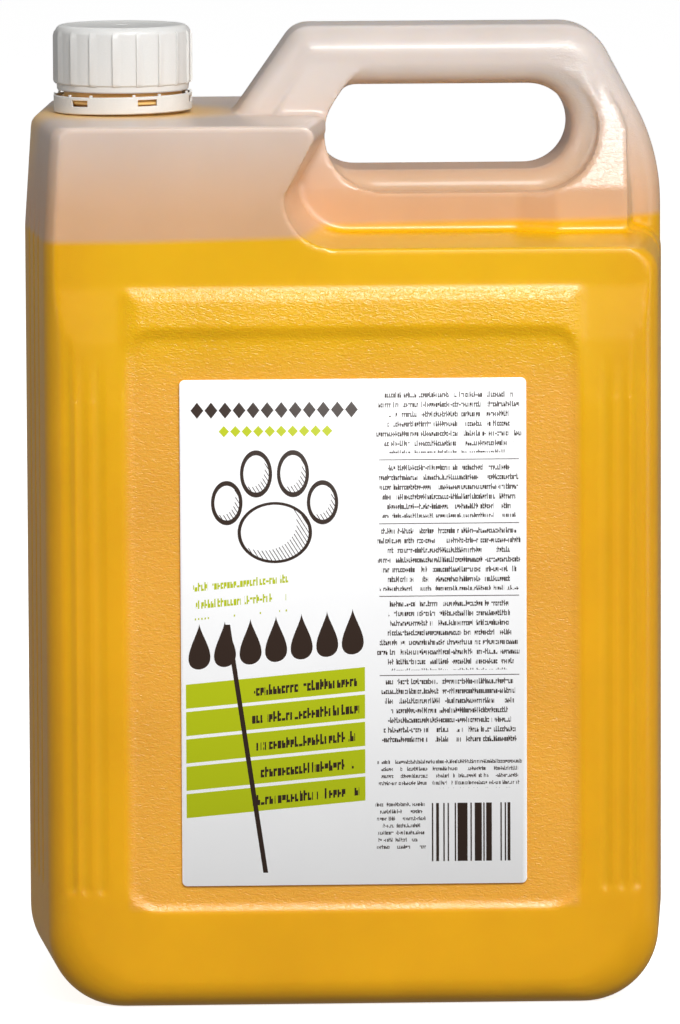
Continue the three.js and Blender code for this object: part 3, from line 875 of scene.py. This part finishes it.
LEG_GRAIN = {"side": 58.0, "bottom": 236.0, "share": 0.45}
GRAIN_FADE = 2.0
panel_side, panel_low = PANEL["half"] + 3, PANEL["bottom"] - 2
panel_high = PANEL["top"] + 15.5
in_panel = add(tree, "MapRange", fade(across, panel_side, panel_side - GRAIN_FADE))
below_crest = add(tree, "MapRange", fade(z, panel_high, panel_high - GRAIN_FADE))
above_ledge = add(tree, "MapRange", fade(z, panel_low, panel_low + GRAIN_FADE))
in_panel = add(tree, "Math", {0: in_panel, 1: below_crest}, operation="MULTIPLY")
in_panel = add(tree, "Math", {0: in_panel, 1: above_ledge}, operation="MULTIPLY")
on_leg = add(tree, "MapRange", fade(x, LEG_GRAIN["side"], LEG_GRAIN["side"] + 2 * GRAIN_FADE))
above_edge = add(tree, "MapRange", fade(z, LEG_GRAIN["bottom"], LEG_GRAIN["bottom"] + GRAIN_FADE))
on_leg = add(tree, "Math", {0: on_leg, 1: above_edge}, operation="MULTIPLY")
on_leg = add(tree, "Math", {0: on_leg, 1: LEG_GRAIN["share"]}, operation="MULTIPLY")
grained = add(tree, "Math", {0: in_panel, 1: on_leg}, operation="MAXIMUM")
print("grained between", panel_low, "and", panel_high, "mm, and on the right leg")

# %% Colour where it is wet
# The yellow is clear near the top. Painted shade turns it more orange lower down and darker at the
# corners, and a paler sheen is painted round the label on the front.
smooth = {"interpolation_type": "SMOOTHSTEP"}
blend = {"out": 2, "data_type": "RGBA"}
# painted shade: the yellow turns more orange lower down
deep = add(tree, "MapRange", fade(z, 205.0, 120.0), **smooth)
liquid = add(tree, "Mix", {0: deep, 6: srgb(SHELL["yellow"]), 7: srgb(SHELL["lower_shade"])}, **blend)
# painted sheen: a paler orange round the label, on the front only
under_ramp = add(tree, "MapRange", fade(z, 200.0, 180.0, most=0.7), **smooth)
sheen_mask = add(tree, "Math", {0: in_panel, 1: under_ramp}, operation="MULTIPLY")
in_front = add(tree, "Math", {0: y, 1: 0.0}, operation="LESS_THAN")
sheen_mask = add(tree, "Math", {0: sheen_mask, 1: in_front}, operation="MULTIPLY")
liquid = add(tree, "Mix", {0: sheen_mask, 6: liquid, 7: srgb(SHELL["painted_sheen"])}, **blend)
# painted shade: the yellow darkens towards the corners, where the face turns away from the light
thin = add(tree, "MapRange", fade(across, 62.0, 90.0, most=0.65), **smooth)
liquid = add(tree, "Mix", {0: thin, 6: liquid, 7: srgb(SHELL["thin"])}, **blend)

# %% Colour where it is dry
# Beige from the liquid's light turns to grey-pink up the handle, and a painted glow lights the neck a
# little.
rise = add(tree, "MapRange", fade(z, 228.0, 275.0), **smooth)
dry = add(tree, "Mix", {0: rise, 6: srgb(SHELL["air"]), 7: srgb(SHELL["handle"])}, **blend)
neck_middle = (NECK_X, 0, DECK + 2)
# painted glow: lighter gold close to the neck
from_neck = add(tree, "VectorMath", {0: place, 1: neck_middle}, operation="DISTANCE", out="Value")
painted_glow = add(tree, "MapRange", fade(from_neck, 42.0, 20.0), **smooth)
dry = add(tree, "Mix", {0: painted_glow, 6: dry, 7: srgb(SHELL["neck"])}, **blend)
colour = add(tree, "Mix", {0: wet, 6: dry, 7: liquid}, **blend)
cloud = add(tree, "TexNoise", {"Vector": place, "Scale": 0.03, "Detail": 3.0}, out=0)
cloudy = add(tree, "MapRange", {0: cloud, 1: 0.3, 2: 0.7, 3: 0.94, 4: 1.04})
colour = add(tree, "Mix", {0: 1.0, 6: colour, 7: cloudy}, blend_type="MULTIPLY", **blend)
tree.links.new(colour, shader.inputs["Base Color"])

# %% Grain of the mould
# One grain of the leather pattern is about a millimetre wide, and it runs a little across.
GRAIN = 1.1
GRAIN_DEPTH = 0.22
stretch = {"Vector": place, "Rotation": (0.0, 0.12, 0.0), "Scale": (0.6, 1, 1.25)}
leather = {"Scale": 1 / GRAIN, "Detail": 2.0, "Roughness": 0.55, "Distortion": 1.2}
stretched = add(tree, "Mapping", stretch)
grain = add(tree, "TexNoise", {"Vector": stretched, **leather})
grain_share = add(tree, "MapRange", {0: grained, 1: 0.0, 2: 1.0, 3: 0.03, 4: 1.0})
height = add(tree, "Math", {0: grain, 1: grain_share}, operation="MULTIPLY")
bump = add(tree, "Bump", {"Strength": 0.9, "Distance": GRAIN_DEPTH * MM, "Height": height})
tree.links.new(bump, shader.inputs["Normal"])
rough = add(tree, "MapRange", {0: grain, 1: 0.3, 2: 0.7, 3: 0.28, 4: 0.34})
tree.links.new(rough, shader.inputs["Roughness"])
shader.inputs["IOR"].default_value = 1.54
shader.inputs["Subsurface Weight"].default_value = 0.35
shader.inputs["Subsurface Radius"].default_value = (1.0, 0.7, 0.4)
shader.inputs["Subsurface Scale"].default_value = 3 * MM
print("shell material", len(tree.nodes), "nodes")

# %% [markdown]
# ### White closures
# Cap and band are injection moulded polyethylene with white pigment: satin, a little milky at
# thin edges, and with the fine texture of a spark eroded mould.

# %% Closure material
CLOSURE = {"white": "#DADAD8", "shade": "#D3D2CF"}
for piece in (cap, band):
    tree, shader, place = material("white_hdpe_injected", piece)
    fine = add(tree, "TexNoise", {"Vector": place, "Scale": 2.5, "Detail": 2.0})
    tint = add(tree, "Mix", {0: fine, 6: srgb(CLOSURE["white"]), 7: srgb(CLOSURE["shade"])}, **blend)
    tree.links.new(tint, shader.inputs["Base Color"])
    bump = add(tree, "Bump", {"Strength": 0.15, "Distance": 0.03 * MM, "Height": fine})
    tree.links.new(bump, shader.inputs["Normal"])
    shader.inputs["Roughness"].default_value = 0.38
    shader.inputs["IOR"].default_value = 1.54
    shader.inputs["Subsurface Weight"].default_value = 0.2
    shader.inputs["Subsurface Radius"].default_value = (1, 0.9, 0.8)
    shader.inputs["Subsurface Scale"].default_value = 1 * MM

# %% [markdown]
# ### Wad and shampoo
# The wad is foamed polyethylene, matt, with closed cells about a third of a millimetre wide. The
# shampoo is a glossy opaque liquid with faint swirls. It is seen only through the neck.

# %% Wad material
tree, shader, place = material("foamed_pe_sheet", liner)
CELL = 0.35  # width of a closed cell
cells = add(tree, "TexVoronoi", {"Vector": place, "Scale": 1 / CELL})
tint = add(tree, "Mix", {0: cells, 6: srgb("#F4F2EC"), 7: srgb("#DAD7CE")}, **blend)
tree.links.new(tint, shader.inputs["Base Color"])
bump = add(tree, "Bump", {"Strength": 0.4, "Distance": 0.05 * MM, "Height": cells})
tree.links.new(bump, shader.inputs["Normal"])
shader.inputs["Roughness"].default_value = 0.8

# %% Shampoo material
tree, shader, place = material("yellow_shampoo", shampoo)
swirl = add(tree, "TexNoise", {"Vector": place, "Scale": 0.05, "Detail": 2.0, "Distortion": 0.6})
tint = add(tree, "Mix", {0: swirl, 6: srgb("#F0B010"), 7: srgb("#E89E08")}, **blend)
tree.links.new(tint, shader.inputs["Base Color"])
shader.inputs["Roughness"].default_value = 0.08
shader.inputs["IOR"].default_value = 1.38
shader.inputs["Subsurface Weight"].default_value = 0.5
shader.inputs["Subsurface Radius"].default_value = (1, 0.6, 0.1)
shader.inputs["Subsurface Scale"].default_value = 5 * MM

# %% [markdown]
# ### Printed film
# The label is white polypropylene film, printed in dark brown and olive. Its print is drawn with
# masks in millimetres on the label's plane: rows of lozenges, a paw, a row of drops, slanting
# bars, lines of filler that stand for small print and a plain bar pattern. None can be read.

# %% Masks
INK = {"dark": "#33231A", "olive": "#BAC60C"}


def block_mask(tree, x, z, left, right, bottom, top):
    across = {0: x, 1: (left + right) / 2, 2: (right - left) / 2}
    up = {0: z, 1: (bottom + top) / 2, 2: (top - bottom) / 2}
    inside_x = add(tree, "Math", across, operation="COMPARE")
    inside_z = add(tree, "Math", up, operation="COMPARE")
    return add(tree, "Math", {0: inside_x, 1: inside_z}, operation="MULTIPLY")


def oval(tree, x, z, centre_x, centre_z, half_x, half_z):
    """Distance from an oval's middle: 1 on its rim"""
    across = add(tree, "Math", {0: x, 1: 1 / half_x, 2: -centre_x / half_x}, operation="MULTIPLY_ADD")
    up = add(tree, "Math", {0: z, 1: 1 / half_z, 2: -centre_z / half_z}, operation="MULTIPLY_ADD")
    spot = add(tree, "CombineXYZ", {0: across, 1: up})
    return add(tree, "VectorMath", {0: spot}, operation="LENGTH", out="Value")


def either(tree, masks):
    """Ink where any of the masks has it"""
    result = masks[0]
    for mask in masks[1:]:
        result = add(tree, "Math", {0: result, 1: mask}, operation="MAXIMUM")
    return result


# %% Filler that stands for print
def filler_lines(tree, x, z, field, pitch, share, ragged, letter, seed):
    """Rows of stems and short bars grouped like words. They stand for print and can't be read.

    Pitch is the line spacing and letter the width of one stem's place. Share is how much of the
    spacing is inked, and ragged how far the shortest line stays short of the field."""
    left, right, bottom, top = field
    start = top / pitch + 50 * seed
    lines = add(tree, "Math", {0: z, 1: -1 / pitch, 2: start}, operation="MULTIPLY_ADD")
    number = add(tree, "Math", {0: lines}, operation="FLOOR")
    part = add(tree, "Math", {0: lines}, operation="FRACT")
    on_line = add(tree, "Math", {0: part, 1: share}, operation="LESS_THAN")
    letters = add(tree, "Math", {0: x, 1: 1 / letter}, operation="MULTIPLY")
    in_letter = add(tree, "Math", {0: letters}, operation="FRACT")
    row = add(tree, "Math", {0: part, 1: 4 / share}, operation="MULTIPLY")
    row = add(tree, "Math", {0: row}, operation="FLOOR")
    which = add(tree, "Math", {0: letters}, operation="FLOOR")
    cell = add(tree, "CombineXYZ", {0: which, 1: number})
    chance = add(tree, "TexWhiteNoise", {"Vector": cell}, out="Value", noise_dimensions="3D")
    row_cell = add(tree, "CombineXYZ", {0: which, 1: number, 2: row})
    row_chance = add(tree, "TexWhiteNoise", {"Vector": row_cell}, out="Value", noise_dimensions="3D")
    least = add(tree, "Math", {0: row, 1: 0.5}, operation="LESS_THAN")
    least = add(tree, "Math", {0: least, 1: 0.6, 2: 0.12}, operation="MULTIPLY_ADD")
    stem = add(tree, "Math", {0: chance, 1: least}, operation="GREATER_THAN")
    narrow = add(tree, "Math", {0: in_letter, 1: 0.42}, operation="LESS_THAN")
    stem = add(tree, "Math", {0: stem, 1: narrow}, operation="MULTIPLY")
    bar = add(tree, "Math", {0: row_chance, 1: 0.5}, operation="GREATER_THAN")
    below = add(tree, "Math", {0: row, 1: 0.5}, operation="GREATER_THAN")
    wide = add(tree, "Math", {0: in_letter, 1: 0.84}, operation="LESS_THAN")
    bar = add(tree, "Math", {0: bar, 1: below}, operation="MULTIPLY")
    bar = add(tree, "Math", {0: bar, 1: wide}, operation="MULTIPLY")
    ink = either(tree, [stem, bar])
    word_place = add(tree, "CombineXYZ", {0: x, 1: number})
    per_word = {"Vector": word_place, "Scale": 0.3, "Detail": 1.0}
    words = add(tree, "TexNoise", per_word, noise_dimensions="2D")
    word = add(tree, "Math", {0: words, 1: 0.36}, operation="GREATER_THAN")
    middle, half = (left + right) / 2, (right - left) / 2
    length = add(tree, "TexWhiteNoise", {"W": number}, out="Value", noise_dimensions="1D")
    reach = add(tree, "Math", {0: length, 1: -ragged * half, 2: half}, operation="MULTIPLY_ADD")
    inside = add(tree, "Math", {0: x, 1: middle, 2: reach}, operation="COMPARE")
    result = block_mask(tree, x, z, *field)
    for mask in (on_line, ink, word, inside):
        result = add(tree, "Math", {0: result, 1: mask}, operation="MULTIPLY")
    return result


# %% Lozenges and drops
def lozenges(tree, x, z, left, right, middle, half, pitch):
    """A row of lozenges between two ends"""
    along = add(tree, "Math", {0: x, 1: 1 / pitch, 2: -left / pitch}, operation="MULTIPLY_ADD")
    along = add(tree, "Math", {0: along, 1: 0.5}, operation="PINGPONG")
    up = add(tree, "Math", {0: z, 1: middle}, operation="SUBTRACT")
    up = add(tree, "Math", {0: up}, operation="ABSOLUTE")
    reach = add(tree, "Math", {0: up, 1: 0.5 / half, 2: 0.04}, operation="MULTIPLY_ADD")
    inside = add(tree, "Math", {0: along, 1: reach}, operation="GREATER_THAN")
    row = block_mask(tree, x, z, left, right, middle - half, middle + half)
    return add(tree, "Math", {0: row, 1: inside}, operation="MULTIPLY")


def drop_row(tree, x, z, left, right, pitch, middle, half):
    """A row of drops, round below and pointed above"""
    along = add(tree, "Math", {0: x, 1: 1 / pitch, 2: -left / pitch}, operation="MULTIPLY_ADD")
    along = add(tree, "Math", {0: along}, operation="FRACT")
    along = add(tree, "Math", {0: along, 1: 0.5}, operation="SUBTRACT")
    up = add(tree, "Math", {0: z, 1: 1 / half, 2: -middle / half}, operation="MULTIPLY_ADD")
    narrow = add(tree, "Math", {0: 1.0, 1: up}, operation="SUBTRACT")
    square = add(tree, "Math", {0: up, 1: up}, operation="MULTIPLY")
    curve = add(tree, "Math", {0: 1.0, 1: square}, operation="SUBTRACT")
    curve = add(tree, "Math", {0: curve, 1: 0.0}, operation="MAXIMUM")
    curve = add(tree, "Math", {0: curve}, operation="SQRT")
    reach = add(tree, "Math", {0: narrow, 1: curve}, operation="MULTIPLY")
    reach = add(tree, "Math", {0: reach, 1: 0.33}, operation="MULTIPLY")
    away = add(tree, "Math", {0: along}, operation="ABSOLUTE")
    inside = add(tree, "Math", {0: away, 1: reach}, operation="LESS_THAN")
    row = block_mask(tree, x, z, left, right, middle - half, middle + half)
    return add(tree, "Math", {0: row, 1: inside}, operation="MULTIPLY")


# %% Small print
tree, shader, place = material("printed_pp_film", label)
x, y, z = (add(tree, "SeparateXYZ", {0: place}, out=axis) for axis in "XYZ")
SLANT = -0.09
slanted = add(tree, "Math", {0: x, 1: SLANT, 2: 0.0}, operation="MULTIPLY_ADD")
tilted_z = add(tree, "Math", {0: z, 1: slanted}, operation="ADD")

COLUMN = (6.7, 49.2)
PARAGRAPHS = ((164.2, 182.2), (145.2, 160.8), (123.7, 142.2), (100.2, 120.7), (78.2, 97.7))
RULES = {"left": 7.5, "right": 48.5, "at": (162.3, 143.5, 122.1, 98.7), "half": 0.12}
small = []
for i, ends in enumerate(PARAGRAPHS):
    small.append(filler_lines(tree, x, z, (*COLUMN, *ends), 2.85, 0.58, 0.2, 0.62, i))
small.append(filler_lines(tree, x, z, (*COLUMN, 65.2, 73.7), 2.1, 0.56, 0.06, 0.5, 5))
small.append(filler_lines(tree, x, z, (6.1, 21.3, 47.2, 61.1), 2.1, 0.56, 0.35, 0.5, 6))
rules = []
for at in RULES["at"]:
    rule = (RULES["left"], RULES["right"], at - RULES["half"], at + RULES["half"])
    rules.append(block_mask(tree, x, z, *rule))

print("small print", len(small), "fields and", len(rules), "rules")

# %% Heading of lozenges
heading = lozenges(tree, x, z, -47.6, 1.6, 177.2, 2.6, 4.1)
sub_heading = lozenges(tree, x, z, -39.4, -5.9, 171.0, 1.8, 3.35)

# %% Paw in outline, with hatched shade
PAW = {"x": -23, "z": 148.2, "line": 0.5}
PADS = [(0, -7.0, 10.4, 8.6)]
for side in (-1, 1):
    PADS += [(side * 14.0, 1.8, 4.1, 5.8), (side * 5.4, 10.3, 4.2, 6.2)]
HATCH = {"slope": 1.6, "per_mm": 0.55, "line": 0.24}
hatch = add(tree, "Math", {0: x, 1: HATCH["slope"], 2: 0.0}, operation="MULTIPLY_ADD")
hatch = add(tree, "Math", {0: hatch, 1: z}, operation="ADD")
hatch = add(tree, "Math", {0: hatch, 1: HATCH["per_mm"]}, operation="MULTIPLY")
hatch = add(tree, "Math", {0: hatch}, operation="FRACT")
hatch = add(tree, "Math", {0: hatch, 1: HATCH["line"]}, operation="LESS_THAN")
paw = []
for pad_x, pad_z, half_x, half_z in PADS:
    middle_x, middle_z = PAW["x"] + pad_x, PAW["z"] + pad_z
    rim = oval(tree, x, z, middle_x, middle_z, half_x, half_z)
    paw.append(add(tree, "Math", {0: rim, 1: 1.0, 2: PAW["line"] / half_x}, operation="COMPARE"))
    lit = oval(tree, x, z, middle_x - half_x / 3, middle_z + half_z / 3, half_x, half_z)
    shaded = add(tree, "Math", {0: lit, 1: 0.95}, operation="GREATER_THAN")
    within = add(tree, "Math", {0: rim, 1: 1.0}, operation="LESS_THAN")
    shaded = add(tree, "Math", {0: shaded, 1: within}, operation="MULTIPLY")
    paw.append(add(tree, "Math", {0: shaded, 1: hatch}, operation="MULTIPLY"))

print("paw", len(PADS), "pads")

# %% Row of drops and slanting stroke
DROPS = {"left": -49, "right": 3.4, "count": 7, "middle": 111.9, "half": 6.8}
drop_pitch = (DROPS["right"] - DROPS["left"]) / DROPS["count"]
drop_ends = (DROPS["left"], DROPS["right"], drop_pitch)
drops = drop_row(tree, x, tilted_z, *drop_ends, DROPS["middle"], DROPS["half"])

STROKE = {"x": -41.05, "width": 1.4, "bottom": 40.6, "top": 114.2, "lean": 0.146, "at": -20.8}
stroke_x = {0: z, 1: STROKE["lean"], 2: STROKE["at"]}
stroke_x = add(tree, "Math", stroke_x, operation="MULTIPLY_ADD")
from_stroke = add(tree, "Math", {0: x, 1: stroke_x}, operation="ADD")
half = STROKE["width"] / 2
ends = (STROKE["x"] - half, STROKE["x"] + half)
stroke = block_mask(tree, from_stroke, z, *ends, STROKE["bottom"], STROKE["top"])

# %% Olive bars with dark filler
BARS = {"pitch": 8.1, "count": 5, "top": 101, "left": -49.3, "right": 3.2, "inked": 0.88}
bars_low = BARS["top"] - BARS["count"] * BARS["pitch"]
bar_lines = {0: tilted_z, 1: -1 / BARS["pitch"], 2: BARS["top"] / BARS["pitch"]}
bar_part = add(tree, "Math", bar_lines, operation="MULTIPLY_ADD")
bar_part = add(tree, "Math", {0: bar_part}, operation="FRACT")
bar_on = add(tree, "Math", {0: bar_part, 1: BARS["inked"]}, operation="LESS_THAN")
bar_field = block_mask(tree, x, tilted_z, BARS["left"], BARS["right"], bars_low, BARS["top"])
olive_bars = add(tree, "Math", {0: bar_field, 1: bar_on}, operation="MULTIPLY")
bar_inside = (-30, 1.5, bars_low, BARS["top"] - 2.3)
bar_text = filler_lines(tree, x, tilted_z, bar_inside, BARS["pitch"], 0.38, 0.1, 1.25, 7)
over_drops = (-47, -19, 119.7, 130.7)
olive_text = filler_lines(tree, x, tilted_z, over_drops, 5.2, 0.48, 0.1, 0.95, 8)

# %% Bar pattern
CODE = {"bar": 0.42, "field": (22.2, 47.4, 43.5, 60.8)}
code = add(tree, "Math", {0: x, 1: 1 / CODE["bar"]}, operation="MULTIPLY")
code = add(tree, "Math", {0: code}, operation="FLOOR")
code = add(tree, "TexWhiteNoise", {"W": code}, out="Value", noise_dimensions="1D")
code = add(tree, "Math", {0: code, 1: 0.5}, operation="GREATER_THAN")
code_field = block_mask(tree, x, z, *CODE["field"])
code = add(tree, "Math", {0: code, 1: code_field}, operation="MULTIPLY")

# %% Label material
olive = either(tree, [sub_heading, olive_bars, olive_text])
dark = either(tree, [*small, *rules, heading, *paw, drops, stroke, bar_text, code])
film = add(tree, "TexNoise", {"Vector": place, "Scale": 0.08, "Detail": 2.0})
paper = add(tree, "Mix", {0: film, 6: srgb("#FFFFFF"), 7: srgb("#FBFBFC")}, **blend)
printed = add(tree, "Mix", {0: olive, 6: paper, 7: srgb(INK["olive"])}, **blend)
printed = add(tree, "Mix", {0: dark, 6: printed, 7: srgb(INK["dark"])}, **blend)
tree.links.new(printed, shader.inputs["Base Color"])
shader.inputs["Roughness"].default_value = 0.35
shader.inputs["IOR"].default_value = 1.49
print("label material", len(tree.nodes), "nodes")

# %% [markdown]
# ## Camera, light and floor
# The camera stands far away with a long lens, a little above the canister. A big softbox up to
# the right gives the highlight along each edge that faces up. The paper floor shines by itself,
# so that it stays white. It is kept out of bounced light and reflections, because it would
# otherwise wash out the lower wall and the undersides.

# %% Camera
EYE = (-104, -2600, 454)
TARGET = (-1.4, 0, 139.4)
ROLL = -0.25
LENS = 307.6
only(None)
camera_data = bpy.data.cameras.new("camera")
camera = bpy.data.objects.new("camera", camera_data)
bpy.context.scene.collection.objects.link(camera)
camera_data.lens = LENS
camera_data.sensor_width = 36
camera_data.clip_end = 100
camera.location = Vector(EYE) * MM
look = (Vector(TARGET) - Vector(EYE)).to_track_quat("-Z", "Y")
camera.rotation_euler = (look.to_matrix() @ Matrix.Rotation(math.radians(ROLL), 3, "Z")).to_euler()
bpy.context.scene.camera = camera
print("camera", EYE, "lens", LENS)

# %% Lights
def softbox(name, azimuth, elevation, distance, width, height, power):
    """A softbox that faces the canister. Azimuth 0 is in front, 90 is on its right"""
    data = bpy.data.lights.new(name, "AREA")
    data.shape = "RECTANGLE"
    data.size, data.size_y = width, height
    data.energy = power
    lamp = bpy.data.objects.new(name, data)
    bpy.context.scene.collection.objects.link(lamp)
    a, e = math.radians(azimuth), math.radians(elevation)
    aim = Vector((0, 0, 0.14))
    way = Vector((math.sin(a) * math.cos(e), -math.cos(a) * math.cos(e), math.sin(e)))
    lamp.location = aim + way * distance
    lamp.rotation_euler = (-way).to_track_quat("-Z", "Y").to_euler()


softbox("key", 12, 38, 1.8, 0.5, 0.36, 21)
softbox("broad", 30, 26, 2.3, 1.6, 1.4, 21)
softbox("right_strip", 80, 15, 1.4, 0.25, 1.2, 2.5)
softbox("left_fill", -64, 20, 2.0, 1.0, 1.0, 8)
softbox("back", 180, 45, 2.5, 2.0, 1.2, 8)
print("softboxes", len(bpy.data.lights))

# %% Floor and surroundings
world = bpy.data.worlds.new("studio")
bpy.context.scene.world = world
world.use_nodes = True
background = world.node_tree.nodes["Background"]
background.inputs["Color"].default_value = srgb("#FFFFFF")
background.inputs["Strength"].default_value = 0.19
bpy.ops.mesh.primitive_circle_add(vertices=96, radius=14, fill_type="NGON", location=(0, 0, 0))
floor = bpy.context.object
floor.name = "floor"
tree, shader, place = material("pale_paper_floor", floor)
speck = add(tree, "TexNoise", {"Vector": place, "Scale": 0.02, "Detail": 2.0})
tint = add(tree, "Mix", {0: speck, 6: srgb("#F8F8F8"), 7: srgb("#F4F4F4")}, **blend)
tree.links.new(tint, shader.inputs["Base Color"])
shader.inputs["Roughness"].default_value = 0.9
shader.inputs["Emission Color"].default_value = srgb("#FFFFFF")
shader.inputs["Emission Strength"].default_value = 0.8
floor.visible_diffuse = False
floor.visible_glossy = False
bpy.context.scene.view_settings.view_transform = "Standard"
